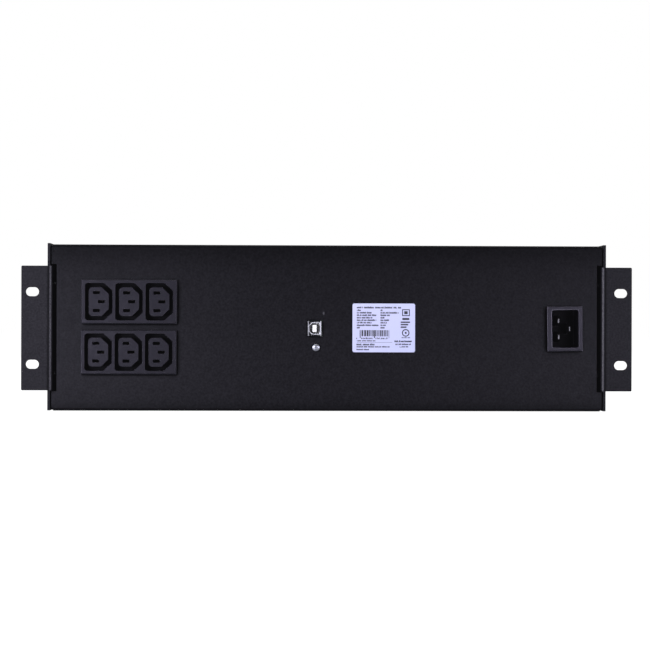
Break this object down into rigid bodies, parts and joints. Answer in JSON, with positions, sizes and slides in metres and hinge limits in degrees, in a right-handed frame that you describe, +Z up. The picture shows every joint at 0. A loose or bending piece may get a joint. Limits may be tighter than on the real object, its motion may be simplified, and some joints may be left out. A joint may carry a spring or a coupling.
{
  "type": "rackmount ups",
  "caption": "Rack-mounted uninterruptible power supply, 3U, with connector panel, switched outlet strips, mains inlet, USB port, cooling fan and a sprung power button.",
  "frame": {"origin": "centre of the four rack slots, on the seating face of the rack ears", "axes": "-Y out of the connector panel, +Y along the depth towards the front bezel, +Z up, +X to the right when facing the connector panel"},
  "size_m": [0.4826, 0.3856, 0.1328],
  "materials": {
    "chassis_paint": "fine-textured black powder coat",
    "ear_paint": "fine-textured black powder coat",
    "black_screw": "black-oxide steel",
    "bezel_plastic": "spark-eroded moulded ABS",
    "outlet_plastic": "satin moulded nylon",
    "inlet_plastic": "satin moulded nylon",
    "contact_brass": "stamped brass",
    "nickel": "satin nickel plate",
    "white_plastic": "moulded thermoplastic",
    "label_film": "satin polyester film",
    "zinc_steel": "bright zinc plate",
    "battery_case": "moulded ABS",
    "tinned_lead": "tinned",
    "wire_red": "PVC insulation",
    "wire_black": "PVC insulation",
    "foam": "closed-cell foam",
    "lamination_steel": "varnished silicon steel",
    "winding_tape": "polyester film tape over copper",
    "pcb": "solder mask on glass epoxy",
    "insulator": "fishpaper sheet",
    "extruded_aluminium": "as extruded",
    "epoxy_black": "moulded epoxy",
    "capacitor_sleeve": "heat-shrink sleeve",
    "relay_case": "moulded PBT",
    "choke_wire": "enamelled copper wire",
    "fan_plastic": "glass-filled PBT",
    "button_plastic": "satin moulded ABS",
    "spring_steel": "drawn wire",
    "lens_plastic": "translucent polycarbonate"
  },
  "bodies": {
    "chassis": {"main_shell": "chassis_paint", "left_side_plate": "chassis_paint", "right_side_plate": "chassis_paint", "front_plate": "chassis_paint", "front_bezel": "bezel_plastic", "left_rack_ear": "ear_paint", "right_rack_ear": "ear_paint", "ear_screws": "black_screw", "side_plate_screws": "black_screw", "front_plate_screws": "black_screw", "bezel_screws": "zinc_steel", "outlet_strip_upper": "outlet_plastic", "outlet_strip_lower": "outlet_plastic", "outlet_contacts_upper": "contact_brass", "outlet_contacts_lower": "contact_brass", "inlet_body": "inlet_plastic", "inlet_pins": "nickel", "usb_shell": "nickel", "usb_insert": "white_plastic", "usb_contacts": "contact_brass", "usb_board": "pcb", "usb_bracket": "zinc_steel", "usb_panel_screw": "nickel", "usb_board_screw": "zinc_steel", "rating_label": "label_film", "battery_1": "battery_case", "battery_2": "battery_case", "battery_3": "battery_case", "battery_4": "battery_case", "battery_terminals": "tinned_lead", "battery_jumpers": "wire_red", "battery_strap": "zinc_steel", "battery_pads": "foam", "transformer_core": "lamination_steel", "transformer_winding": "winding_tape", "transformer_brackets": "zinc_steel", "transformer_bolts": "zinc_steel", "weld_studs": "zinc_steel", "stud_nuts": "zinc_steel", "main_board": "pcb", "insulation_sheet": "insulator", "board_standoffs": "contact_brass", "board_screws": "zinc_steel", "heat_sinks": "extruded_aluminium", "power_transistors": "epoxy_black", "capacitors": "capacitor_sleeve", "relays": "relay_case", "filter_choke": "choke_wire", "fuse_holder": "white_plastic", "control_board": "pcb", "fan_frame": "fan_plastic", "fan_screws": "black_screw", "button_switch": "epoxy_black", "button_spring": "spring_steel", "indicator_board": "pcb", "indicator_lenses": "lens_plastic", "mains_wires": "wire_black", "battery_wires": "wire_red"},
    "fan_impeller": {"fan_rotor": "fan_plastic"},
    "power_button": {"power_button": "button_plastic"}
  },
  "joints": [
    {"name": "fan_spin", "type": "hinge", "parent": "chassis", "child": "fan_impeller", "pos_m": [0.2044, 0.112, 0], "axis": [1, 0, 0], "continuous": true},
    {"name": "button_press", "type": "slide", "parent": "chassis", "child": "power_button", "axis": [0, -1, 0], "range_m": [0, 0.002], "stiffness_N_per_m": 400, "springref_m": -0.0005, "deforming": ["button_spring"]}
  ]
}
